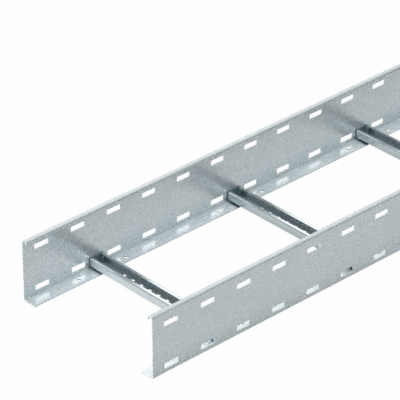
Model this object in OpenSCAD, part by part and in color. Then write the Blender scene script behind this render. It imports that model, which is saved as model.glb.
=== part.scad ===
// Cable ladder section: two bent side rails joined by slotted C-section rungs.
// Millimetres. X runs along the ladder, Y across it, Z up.
// The origin is on the underside, in the middle of the length and of the width.

/* [Ladder] */
// Width over the outer faces of the two side rails
ladder_width = 300; // [200:50:600]
// Distance from one rung to the next; the section is ten of these long
rung_pitch = 300; // [225:75:450]
// Thickness of the galvanised sheet
sheet_t = 1.5; // [1.2:0.1:2.0]

/* [Side rail] */
// Height of the side rail
rail_height = 110; // [100:5:150]
// Inside radius of the side rail's bends
rail_bend = 2; // [1:0.25:2.5]
// Width of the bottom flange, measured from the outer face
flange_w = 27; // [24:0.5:40]
// Width of the top lip, measured from the outer face
lip_w = 11; // [10:0.5:16]
// Height of the return that hangs from the top lip, measured from the top
return_h = 6; // [5:0.5:10]

/* [Side rail slots] */
// Distance from one slot to the next along the rail
slot_pitch = 75; // [50:5:100]
// Length of a slot
slot_length = 28; // [20:1:40]
// Height of a slot
slot_height = 9.5; // [7:0.5:12]
// Radius of a slot's corners
slot_corner = 1.5; // [0.5:0.5:3]
// Height of the lower row of slots above the underside
slot_row_low = 13.5; // [12:0.5:16]
// Distance between the two rows of slots
slot_row_gap = 75; // [50:5:75]

/* [Flange holes] */
// Diameter of a fixing hole in the bottom flange
flange_hole_d = 7; // [5:0.5:9]
// Distance from a fixing hole's centre to the flange's free edge
flange_hole_edge = 10.5; // [6:0.5:12]
// Distance from a rung's middle to the fixing hole on each side of it
flange_hole_offset = 50; // [30:5:70]

/* [Rungs] */
// Width of a rung
rung_w = 30; // [28:1:45]
// Height of a rung
rung_h = 15; // [12:1:25]
// Inside radius of a rung's bends
rung_bend = 1; // [0.75:0.25:2]
// Width of the slot along the top of a rung
rung_slot_w = 17.5; // [12:0.5:20]
// Height of a rung's underside above the rail's underside
rung_lift = 5; // [4:0.5:8]
// Gap between each end of a rung and the side rail
rung_end_gap = 2; // [0.5:0.5:3]

/* [Rung feet] */
// Diameter of the pressed foot where it rests on the flange
foot_d = 12; // [8:0.5:14]
// Outward lean of the foot's wall between the flange and the rung
foot_flare = 2; // [1:0.5:3]

/* [Rung base holes] */
// Distance from one base hole to the next along a rung
base_hole_pitch = 20; // [15:1:30]
// Length of a base hole, across the rung
base_hole_length = 19.5; // [10:0.5:22]
// Width of a base hole, along the rung
base_hole_width = 8; // [5:0.5:10]
// Length of plain base kept at each end of a rung
base_plain_end = 50; // [30:5:80]

/* [Hidden] */
$fn = 64;
RUNG_COUNT = 10;
CUT_OVER = 1;
ladder_length = RUNG_COUNT * rung_pitch;
slot_count = floor(ladder_length / slot_pitch);
slot_row_high = slot_row_low + slot_row_gap;
flange_hole_y = flange_w - flange_hole_edge;
rail_bend_outer = rail_bend + sheet_t;
rung_bend_outer = rung_bend + sheet_t;
rung_length = ladder_width - 2 * (sheet_t + rung_end_gap);
rung_lip_w = (rung_w - rung_slot_w) / 2;
foot_y = ladder_width / 2 - flange_hole_y;
foot_drop = rung_lift - sheet_t;
foot_slope = foot_flare / foot_drop;
base_hole_count = floor((ladder_width - 2 * base_plain_end) / base_hole_pitch);
zinc_rail = [0.72, 0.75, 0.76];
zinc_rung = [0.76, 0.79, 0.80];

// Position of item i in an evenly spaced row centred on zero
function row_place(i, count, pitch) = (i - (count - 1) / 2) * pitch;

// Section of one sheet bend: a quarter ring in the quadrant of x and y given by the two signs
module bend_2d(inner, sign_x, sign_y) {
    outer = inner + sheet_t;
    intersection() {
        difference() {
            circle(r = outer);
            circle(r = inner);
        }
        translate([min(0, sign_x * outer), min(0, sign_y * outer)])
            square(outer);
    }
}

// Outline of a punched slot with rounded corners, centred on the origin
module slot_2d(length, width, corner) {
    square([length - 2 * corner, width], center = true);
    square([length, width - 2 * corner], center = true);
    for (x = [-1, 1], y = [-1, 1])
        translate([x * (length / 2 - corner), y * (width / 2 - corner)])
            circle(r = corner);
}

// Rail section: web on the outside, flange at the bottom, lip and return at the top
module rail_section_2d() {
    translate([0, rail_bend_outer])
        square([sheet_t, rail_height - 2 * rail_bend_outer]);
    translate([rail_bend_outer, rail_bend_outer])
        bend_2d(rail_bend, -1, -1);
    translate([rail_bend_outer, 0])
        square([flange_w - rail_bend_outer, sheet_t]);
    translate([rail_bend_outer, rail_height - rail_bend_outer])
        bend_2d(rail_bend, -1, 1);
    translate([rail_bend_outer, rail_height - sheet_t])
        square([lip_w - 2 * rail_bend_outer, sheet_t]);
    translate([lip_w - rail_bend_outer, rail_height - rail_bend_outer])
        bend_2d(rail_bend, 1, 1);
    translate([lip_w - sheet_t, rail_height - return_h])
        square([sheet_t, return_h - rail_bend_outer]);
}

// Punches for the two rows of web slots
module web_slot_cuts() {
    for (i = [0 : slot_count - 1], z = [slot_row_low, slot_row_high])
        translate([row_place(i, slot_count, slot_pitch), -CUT_OVER, z])
            rotate([-90, 0, 0])
                linear_extrude(height = sheet_t + 2 * CUT_OVER)
                    slot_2d(slot_length, slot_height, slot_corner);
}

// Drills for the fixing holes, one on each side of every rung
module flange_hole_cuts() {
    for (i = [0 : RUNG_COUNT - 1], side = [-1, 1])
        translate([
            row_place(i, RUNG_COUNT, rung_pitch) + side * flange_hole_offset,
            flange_hole_y,
            -CUT_OVER
        ])
            cylinder(h = sheet_t + 2 * CUT_OVER, d = flange_hole_d);
}

// One side rail with its outer face on y = 0 and its flange towards +y
module side_rail() {
    difference() {
        rotate([90, 0, 90])
            linear_extrude(height = ladder_length, center = true)
                rail_section_2d();
        web_slot_cuts();
        flange_hole_cuts();
    }
}

module side_rail_right() {
    color(zinc_rail)
        translate([0, -ladder_width / 2, 0])
            side_rail();
}

module side_rail_left() {
    color(zinc_rail)
        mirror([0, 1, 0])
            translate([0, -ladder_width / 2, 0])
                side_rail();
}

// Rung section: base, two walls and two inward lips with the slot between them
module rung_section_2d() {
    translate([-rung_w / 2 + rung_bend_outer, 0])
        square([rung_w - 2 * rung_bend_outer, sheet_t]);
    for (side = [0, 1])
        mirror([side, 0]) {
            translate([rung_w / 2 - rung_bend_outer, rung_bend_outer])
                bend_2d(rung_bend, 1, -1);
            translate([rung_w / 2 - sheet_t, rung_bend_outer])
                square([sheet_t, rung_h - 2 * rung_bend_outer]);
            translate([rung_w / 2 - rung_bend_outer, rung_h - rung_bend_outer])
                bend_2d(rung_bend, 1, 1);
            translate([rung_w / 2 - rung_lip_w, rung_h - sheet_t])
                square([rung_lip_w - rung_bend_outer, sheet_t]);
        }
}

// Cone with a foot's slope, standing on its narrow end
module foot_cone(r_low, height) {
    cylinder(h = height, r1 = r_low, r2 = r_low + height * foot_slope);
}

// Outside of the two round feet that are pressed down from the base to the flanges
module feet_outside() {
    for (side = [-1, 1])
        translate([0, side * foot_y, -foot_drop])
            foot_cone(foot_d / 2, foot_drop + sheet_t / 2);
}

// Hollows of the two feet, open at the top
module feet_hollows() {
    for (side = [-1, 1])
        translate([0, side * foot_y, -foot_drop + sheet_t])
            foot_cone(foot_d / 2 - sheet_t / 2, foot_drop + CUT_OVER);
}

// Punches for the row of base holes
module base_hole_cuts() {
    for (i = [0 : base_hole_count - 1])
        translate([0, row_place(i, base_hole_count, base_hole_pitch), -CUT_OVER])
            linear_extrude(height = sheet_t + 2 * CUT_OVER)
                slot_2d(base_hole_length, base_hole_width, slot_corner);
}

// One rung: a slotted section with base holes, standing on a pressed foot near each end
module rung(index) {
    color(zinc_rung)
        translate([row_place(index, RUNG_COUNT, rung_pitch), 0, rung_lift])
            difference() {
                union() {
                    rotate([90, 0, 0])
                        linear_extrude(height = rung_length, center = true)
                            rung_section_2d();
                    feet_outside();
                }
                feet_hollows();
                base_hole_cuts();
            }
}

side_rail_left();
side_rail_right();
rung(0);  // rung_01
rung(1);  // rung_02
rung(2);  // rung_03
rung(3);  // rung_04
rung(4);  // rung_05
rung(5);  // rung_06
rung(6);  // rung_07
rung(7);  // rung_08
rung(8);  // rung_09
rung(9);  // rung_10
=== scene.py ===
"""Cable ladder section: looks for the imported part. Metres, in the part's own frame."""

import bpy
from mathutils import Euler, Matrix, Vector


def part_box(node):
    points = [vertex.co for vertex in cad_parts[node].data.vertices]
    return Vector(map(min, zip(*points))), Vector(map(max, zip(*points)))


# Camera: the photograph's viewing angle, from the open end and above the near rail.
CAMERA_PLACE = (-4.029216, -2.975479, 2.593159)
CAMERA_TURN = (1.02960288, 0.00105052, -0.74945716)
CAMERA_LENS = 275.396
CAMERA_SENSOR = 36.0
CAMERA_CLIP = (0.1, 200.0)

WHITE = (1.0, 1.0, 1.0, 1.0)
# Floor: its lit colour, how white the camera sees it, the share of white that shiny
# surfaces see in it, and how far it lies under the ladder.
FLOOR_COLOUR = (0.54, 0.54, 0.54, 1.0)
FLOOR_SEEN = 0.97
FLOOR_MIRRORED = 0.05
FLOOR_WIDTH = 60.0
FLOOR_DROP = 0.0002
# Backdrop: how much light it gives, and how bright shiny surfaces see it. To the camera
# it is white.
SKY_LIGHT = 0.04
SKY_MIRRORED = 0.36
# A dark card, as a studio sets to draw dark lines in bends, seen by shiny surfaces only:
# the way to it, the cosines of the angles from there at its edge and where it is full,
# and how bright it is.
CARD_WAY = (0.62, -0.78, 0.07)
CARD_EDGE = 0.89
CARD_CORE = 0.95
CARD_LEVEL = 0.0

# Crystals: the scale and reach of the noise that bends their borders, and the scale and
# share of each size.
WARP_SCALE = 260.0
WARP_REACH = 0.004
CRYSTAL_SIZES = ((300.0, 0.6), (110.0, 0.4))
# Scales of the patterns. A streak is long along the sheet and fine across it.
STREAK_FINE = 900.0
STREAK_LONG = 12.0
BLOTCH_SCALE = 14.0
SPECK_SCALE = 700.0
# How far each pattern moves the colour's level and the roughness.
CRYSTAL_SWING = 0.02
STREAK_SWING = 0.012
BLOTCH_SWING = 0.015
SPECK_SWING = 0.012
ROUGH_SWING = 0.03
# The values between which a noise mostly lies, and the closer ones that give it contrast.
NOISE_SOFT = (0.3, 0.7)
NOISE_FIRM = (0.35, 0.65)
# The relief of the coating: its depth, its strength and each pattern's share in it.
RELIEF_DEPTH = 0.00003
RELIEF_STRENGTH = 0.028
CRYSTAL_RELIEF = 0.5
STREAK_RELIEF = 0.3
SPECK_RELIEF = 0.4
# Edges are rubbed paler within a radius, where the rounded normal leaves the true one:
# the cosines where that is full and where it starts, how much paler they get, and how
# much of that shows.
WORN_RADIUS = 0.0005
WORN_FULL = 0.75
WORN_START = 0.94
WORN_GAIN = 1.3
WORN_SHARE = 0.25
# How much of the wear is left between the specks.
WORN_LEFT = 0.4
# How nearly a face must point along the rung to be a cut end, which gets painted shade,
# and up to be hazy, or rubbed and given painted shade.
CUT_END = (0.9, 0.98)
FACE_UP = (0.8, 1.0)

# Painted shade lies where the sheet has cover: how near the cover is, and how open to the
# sky a point is where the painted shade is full and where it ends.
RUNG_SHADE_COVER = (0.02, 0.1, 0.45)
RAIL_SHADE_COVER = (0.006, 0.35, 0.72)
# What painted shade multiplies the zinc's red, green and blue by.
RUNG_PAINTED_SHADE = (0.39, 0.51, 0.53)
RAIL_PAINTED_SHADE = (0.32, 0.43, 0.45)
# Over what distance the painted shadow behind a rung's end fades out beside and above the
# rung.
SHADOW_FADE = 0.0008
# Where the flange's bend ends: heights, and depths from the rail's outer face.
BEND_HEIGHT = (0.0035, 0.005)
BEND_DEPTH = (0.0055, 0.0065)
# The depths over which painted shade starts behind the rail's outer face, which stays
# unshaded.
FACE_DEPTH = (0.0004, 0.0008)
# The heights between which a rail's upward faces change from hazy flange to rubbed lip
# with painted shade.
FLANGE_TO_LIP = (0.02, 0.09)
# How much of the shine is lost to haze on the flanges.
HAZE = 0.56
# How much rougher the lips are, where ladders are gripped and stacked, and the painted
# shade that darkens their upward faces.
SCUFF = 0.15
LIP_SHADE_TONE = 0.87

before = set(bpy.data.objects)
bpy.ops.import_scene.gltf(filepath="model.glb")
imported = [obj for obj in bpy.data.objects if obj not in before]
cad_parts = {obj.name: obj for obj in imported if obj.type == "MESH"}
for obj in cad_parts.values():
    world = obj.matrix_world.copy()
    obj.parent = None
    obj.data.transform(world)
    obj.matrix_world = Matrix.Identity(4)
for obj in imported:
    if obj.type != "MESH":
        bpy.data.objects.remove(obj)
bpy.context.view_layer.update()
# The nodes, the first rung's middle, a rung's half width and top, the distance from rung
# to rung, and the rails' outer faces.
rails = sorted(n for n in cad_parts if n.startswith("side_rail"))
rungs = sorted(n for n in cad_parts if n.startswith("rung"))
rung_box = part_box(rungs[0])
rung_x = (rung_box[0][0] + rung_box[1][0]) / 2
rung_half = (rung_box[1][0] - rung_box[0][0]) / 2
rung_top = rung_box[1][2]
rung_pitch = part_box(rungs[1])[0][0] - rung_box[0][0]
outer_y = max(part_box(n)[1][1] for n in rails)


# ---------------------------------------------------------------- node helpers
class Graph:
    """A material's node tree, with short calls for the nodes that it uses."""

    def __init__(self, name):
        self.material = bpy.data.materials.new(name)
        self.material.use_nodes = True
        self.tree = self.material.node_tree
        self.tree.nodes.clear()

    @classmethod
    def over(cls, tree):
        """The same short calls for a tree that is there already."""
        made = cls.__new__(cls)
        made.tree = tree
        tree.nodes.clear()
        return made

    def node(self, kind, inputs=(), **settings):
        made = self.tree.nodes.new(kind)
        for key, value in settings.items():
            setattr(made, key, value)
        for key, value in dict(inputs).items():
            self.feed(made.inputs[key], value)
        return made

    def feed(self, socket, value):
        if isinstance(value, bpy.types.NodeSocket):
            self.tree.links.new(value, socket)
        else:
            socket.default_value = value

    def finish(self, shader, output="ShaderNodeOutputMaterial"):
        """The tree's result."""
        self.tree.links.new(shader.outputs[0], self.node(output).inputs[0])

    def math(self, operation, a, b=0.0):
        made = self.node("ShaderNodeMath", {0: a, 1: b}, operation=operation)
        return made.outputs[0]

    def vector_math(self, operation, a, b):
        return self.node("ShaderNodeVectorMath", {0: a, 1: b}, operation=operation)

    def product(self, first, *others):
        for other in others:
            first = self.math("MULTIPLY", first, other)
        return first

    def without(self, mask):
        """The rest of a mask, 1 where it is 0."""
        return self.math("SUBTRACT", 1.0, mask)

    def remap(self, value, low, high, to_low, to_high):
        made = self.node(
            "ShaderNodeMapRange",
            {
                "Value": value,
                "From Min": low,
                "From Max": high,
                "To Min": to_low,
                "To Max": to_high,
            },
        )
        return made.outputs["Result"]

    def rise(self, value, low, high):
        """0 below low, 1 above high."""
        return self.remap(value, low, high, 0.0, 1.0)

    def fall(self, value, low, high):
        """1 below low, 0 above high."""
        return self.remap(value, low, high, 1.0, 0.0)

    def swing(self, noise, reach):
        """A noise as a change of up to reach both ways."""
        return self.remap(noise, *NOISE_SOFT, -reach, reach)

    def mix(self, factor, a, b, blend="MIX"):
        """Two colours mixed. Inputs 6 and 7 of a Mix node are its colours."""
        made = self.node(
            "ShaderNodeMix", data_type="RGBA", blend_type=blend, clamp_factor=True
        )
        self.feed(made.inputs[0], factor)
        self.feed(made.inputs[6], a)
        self.feed(made.inputs[7], b)
        return made.outputs[2]

    def mix_value(self, factor, a, b):
        """Two values mixed. Inputs 2 and 3 of a Mix node are its values."""
        made = self.node("ShaderNodeMix", {0: factor, 2: a, 3: b}, data_type="FLOAT")
        return made.outputs[0]

    def noise(self, place, scale, detail=2.0, rough=0.5):
        made = self.node(
            "ShaderNodeTexNoise",
            {"Vector": place, "Scale": scale, "Detail": detail, "Roughness": rough},
        )
        return made.outputs["Fac"]

    def stretched(self, place, scale):
        made = self.node("ShaderNodeMapping", {"Vector": place, "Scale": scale})
        return made.outputs["Vector"]

    def openness(self, reach):
        """How open a point is to the sky, past cover that is nearer than reach."""
        made = self.node(
            "ShaderNodeAmbientOcclusion", {"Distance": reach}, samples=8
        )
        return made.outputs["AO"]


def toned(colour, by):
    """A colour with its red, green and blue multiplied."""
    return tuple(c * b for c, b in zip(colour, by)) + (1.0,)


# ---------------------------------------------------------------- zinc coating
def crystals(g, place):
    """Zinc crystals in two sizes with bent borders, each of one value."""
    warp = g.node(
        "ShaderNodeTexNoise", {"Vector": place, "Scale": WARP_SCALE, "Detail": 1.0}
    ).outputs["Color"]
    bent = g.vector_math("MULTIPLY", warp, (WARP_REACH,) * 3).outputs[0]
    warped = g.vector_math("ADD", place, bent).outputs[0]
    parts = []
    for channel, (scale, share) in enumerate(CRYSTAL_SIZES):
        cells = g.node("ShaderNodeTexVoronoi", {"Vector": warped, "Scale": scale})
        values = g.node("ShaderNodeSeparateColor", {"Color": cells.outputs["Color"]})
        parts.append(g.math("MULTIPLY", values.outputs[channel], share))
    return g.math("ADD", *parts)


def unshaded_of_rung(g, normal_y):
    """0 where shade is painted deep in a rung's channel and on its cut ends, 1 where none
    is.
    """
    reach, shut, open_wide = RUNG_SHADE_COVER
    unshaded = g.rise(g.openness(reach), shut, open_wide)
    return g.math("MINIMUM", unshaded, g.fall(g.math("ABSOLUTE", normal_y), *CUT_END))


def unshaded_of_rail(g, along, across, height):
    """0 where shade is painted in tight corners and on the web behind a rung's end, 1
    where none is.
    """
    from_middle = g.math("ABSOLUTE", across)
    above_bend = g.rise(height, *BEND_HEIGHT)
    near_web = g.rise(from_middle, outer_y - BEND_DEPTH[1], outer_y - BEND_DEPTH[0])
    # The flange's bend counts as open, so that no painted shade lies in it.
    in_bend = g.product(near_web, g.without(above_bend))
    reach, shut, open_wide = RAIL_SHADE_COVER
    unshaded = g.rise(g.math("ADD", g.openness(reach), in_bend), shut, open_wide)

    # The place along the rail, moved by whole pitches to within half a pitch of rung 1.
    nearest = g.node(
        "ShaderNodeMath",
        {0: along, 1: rung_x + rung_pitch / 2, 2: rung_x - rung_pitch / 2},
        operation="WRAP",
    ).outputs[0]
    from_rung = g.math("ABSOLUTE", g.math("SUBTRACT", nearest, rung_x))
    # Painted shadow on the web in the gap behind each rung's end.
    shadow_behind_rung = g.product(
        g.fall(from_rung, rung_half, rung_half + SHADOW_FADE),
        g.fall(height, rung_top, rung_top + SHADOW_FADE),
        above_bend,
        near_web,
        g.fall(from_middle, outer_y - FACE_DEPTH[1], outer_y - FACE_DEPTH[0]),
    )
    return g.math("MINIMUM", unshaded, g.without(shadow_behind_rung))


def zinc(name, tone, tint, metallic, rough, grain_axis, is_rail):
    """Galvanised sheet: crystals, mill streaks, blotches, worn edges, painted shade in
    corners, channels, gaps and on the lips' tops, and wear.
    """
    g = Graph(name)
    place = g.node("ShaderNodeTexCoord").outputs["Object"]
    along, across, height = g.node("ShaderNodeSeparateXYZ", {0: place}).outputs
    true_normal = g.node("ShaderNodeNewGeometry").outputs["Normal"]
    normal_y, normal_z = g.node("ShaderNodeSeparateXYZ", {0: true_normal}).outputs[1:]

    crystal = crystals(g, place)
    streak_scale = [STREAK_FINE] * 3
    streak_scale[grain_axis] = STREAK_LONG
    streak = g.noise(g.stretched(place, streak_scale), 1.0)
    blotch = g.noise(place, BLOTCH_SCALE, detail=3.0, rough=0.6)
    speck = g.noise(place, SPECK_SCALE, rough=0.7)

    level = g.remap(crystal, 0.0, 1.0, -CRYSTAL_SWING, CRYSTAL_SWING)
    level = g.math("ADD", level, g.swing(streak, STREAK_SWING))
    level = g.math("ADD", level, g.swing(blotch, BLOTCH_SWING))
    level = g.math("ADD", level, g.swing(speck, SPECK_SWING))
    level = g.math("ADD", level, 1.0)
    value = g.node("ShaderNodeCombineXYZ", {0: level, 1: level, 2: level}).outputs[0]
    base = g.mix(g.rise(blotch, *NOISE_FIRM), tone, tint)
    shaded = g.mix(1.0, base, value, "MULTIPLY")

    rounded = g.node("ShaderNodeBevel", {"Radius": WORN_RADIUS}, samples=6).outputs[0]
    facing = g.vector_math("DOT_PRODUCT", rounded, true_normal).outputs["Value"]
    edge = g.fall(facing, WORN_FULL, WORN_START)
    worn = g.product(edge, g.remap(speck, *NOISE_FIRM, WORN_LEFT, 1.0))
    rubbed = tuple(min(1.0, c * WORN_GAIN) for c in tone)
    colour = g.mix(g.product(worn, WORN_SHARE), shaded, rubbed)

    # Painted shade darkens the zinc in tight corners, deep in rungs' channels, on cut
    # ends and behind rung ends.
    if is_rail:
        unshaded = unshaded_of_rail(g, along, across, height)
        colour = g.mix(unshaded, toned(tone, RAIL_PAINTED_SHADE), colour)
    else:
        unshaded = unshaded_of_rung(g, normal_y)
        colour = g.mix(unshaded, toned(tone, RUNG_PAINTED_SHADE), colour)

    roughness = g.math(
        "ADD",
        g.remap(crystal, 0.0, 1.0, rough - ROUGH_SWING, rough + ROUGH_SWING),
        g.swing(blotch, ROUGH_SWING),
    )
    shine = metallic
    # Haze takes shine from the flanges, handling roughens the lips, and painted shade
    # darkens the lips' upward faces.
    if is_rail:
        low = g.fall(height, *FLANGE_TO_LIP)
        face_up = g.rise(normal_z, *FACE_UP)
        haze = g.product(face_up, HAZE, blotch, low)
        shine = g.math("SUBTRACT", metallic, haze)
        scuff_and_shade = g.product(face_up, g.without(low))
        roughness = g.math("ADD", roughness, g.product(scuff_and_shade, SCUFF))
        colour = g.mix(scuff_and_shade, colour, toned(tone, (LIP_SHADE_TONE,) * 3))

    relief = g.math(
        "ADD",
        g.product(crystal, CRYSTAL_RELIEF),
        g.math("ADD", g.product(streak, STREAK_RELIEF), g.product(speck, SPECK_RELIEF)),
    )
    bump = g.node(
        "ShaderNodeBump",
        {
            "Height": relief,
            "Strength": RELIEF_STRENGTH,
            "Distance": RELIEF_DEPTH,
            "Normal": rounded,
        },
    ).outputs["Normal"]
    shader = g.node(
        "ShaderNodeBsdfPrincipled",
        {
            "Base Color": colour,
            "Roughness": roughness,
            "Normal": bump,
            "Metallic": shine,
        },
    )
    g.finish(shader)
    return g.material


rail_zinc = zinc(
    "zinc_rail",
    tone=(0.685, 0.75, 0.77, 1.0),
    tint=(0.655, 0.725, 0.75, 1.0),
    metallic=0.62,
    rough=0.27,
    grain_axis=0,
    is_rail=True,
)
rung_zinc = zinc(
    "zinc_rung",
    tone=(0.62, 0.685, 0.705, 1.0),
    tint=(0.595, 0.66, 0.685, 1.0),
    metallic=0.88,
    rough=0.2,
    grain_axis=1,
    is_rail=False,
)
for names, material in ((rails, rail_zinc), (rungs, rung_zinc)):
    for name in names:
        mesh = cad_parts[name].data
        mesh.materials.clear()
        mesh.materials.append(material)


# ---------------------------------------------------------------- floor and world
def seen_directly(g):
    """1 for rays from the camera, off shiny surfaces or through clear ones, else 0."""
    path = g.node("ShaderNodeLightPath")
    shiny = g.math(
        "MAXIMUM", path.outputs["Is Glossy Ray"], path.outputs["Is Transmission Ray"]
    )
    return g.math("MAXIMUM", shiny, path.outputs["Is Camera Ray"])


def floor_material():
    """Lit grey that keeps the ladder's shadow, under white for the camera."""
    g = Graph("pale_floor")
    diffuse = g.node("ShaderNodeBsdfDiffuse", {"Color": FLOOR_COLOUR})
    glow = g.node("ShaderNodeEmission", {"Color": WHITE, "Strength": 1.0})
    camera_ray = g.node("ShaderNodeLightPath").outputs["Is Camera Ray"]
    share = g.math(
        "MAXIMUM",
        g.product(seen_directly(g), FLOOR_MIRRORED),
        g.product(camera_ray, FLOOR_SEEN),
    )
    lit_or_white = {0: share, 1: diffuse.outputs[0], 2: glow.outputs[0]}
    g.finish(g.node("ShaderNodeMixShader", lit_or_white))
    return g.material


def studio_world():
    """A backdrop that is white for the camera and dimmer in shiny surfaces."""
    world = bpy.data.worlds.new("studio")
    world.use_nodes = True
    g = Graph.over(world.node_tree)
    way = g.node("ShaderNodeTexCoord").outputs["Generated"]
    card_way = Vector(CARD_WAY).normalized()
    towards_card = g.vector_math("DOT_PRODUCT", way, card_way).outputs["Value"]
    mirrored = g.remap(
        towards_card, CARD_EDGE, CARD_CORE, SKY_MIRRORED, CARD_LEVEL
    )
    camera_ray = g.node("ShaderNodeLightPath").outputs["Is Camera Ray"]
    backdrop = g.mix_value(camera_ray, mirrored, 1.0)
    strength = g.mix_value(seen_directly(g), SKY_LIGHT, backdrop)
    background = g.node(
        "ShaderNodeBackground", {"Color": WHITE, "Strength": strength}
    )
    g.finish(background, "ShaderNodeOutputWorld")
    return world


bpy.ops.mesh.primitive_plane_add(size=FLOOR_WIDTH, location=(0.0, 0.0, -FLOOR_DROP))
floor = bpy.context.object
floor.name = "floor"
floor.data.materials.append(floor_material())
bpy.context.scene.world = studio_world()


# ---------------------------------------------------------------- lamps
def softbox(name, place, aim, size, power, mirrored=True):
    """A square area lamp facing aim: its size in metres, its power in watts, and whether
    shiny surfaces mirror it."""
    lamp = bpy.data.lights.new(name, "AREA")
    lamp.shape = "SQUARE"
    lamp.size = size
    lamp.energy = power
    obj = bpy.data.objects.new(name, lamp)
    bpy.context.scene.collection.objects.link(obj)
    obj.location = place
    to = [b - a for a, b in zip(place, aim)]
    obj.rotation_mode = "QUATERNION"
    obj.rotation_quaternion = Vector(to).to_track_quat("-Z", "Y")
    obj.visible_camera = False
    obj.visible_glossy = mirrored


# The lamp overhead isn't mirrored, so that tops keep their tone when seen from above.
softbox(
    "top_softbox",
    place=(-1.0, 0.0, 6.0),
    aim=(-0.5, 0.0, 0.0),
    size=4.0,
    power=340.0,
    mirrored=False,
)
softbox(
    "front_softbox",
    place=(-1.0, -4.5, 4.5),
    aim=(-1.0, 0.0, 0.0),
    size=3.0,
    power=140.0,
)
softbox(
    "back_softbox",
    place=(2.5, 4.9, 4.6),
    aim=(-1.2, 0.0, 0.0),
    size=4.0,
    power=74.0,
)
softbox(
    "end_softbox",
    place=(-4.6, 0.4, 0.08),
    aim=(-1.4, 0.0, 0.02),
    size=0.14,
    power=190.0,
)

# ---------------------------------------------------------------- camera
lens = bpy.data.cameras.new("camera")
lens.sensor_fit = "HORIZONTAL"
lens.sensor_width = CAMERA_SENSOR
lens.lens = CAMERA_LENS
lens.clip_start, lens.clip_end = CAMERA_CLIP
camera = bpy.data.objects.new("camera", lens)
bpy.context.scene.collection.objects.link(camera)
camera.location = CAMERA_PLACE
camera.rotation_euler = Euler(CAMERA_TURN, "XYZ")
bpy.context.scene.camera = camera
bpy.context.scene.view_settings.view_transform = "Standard"
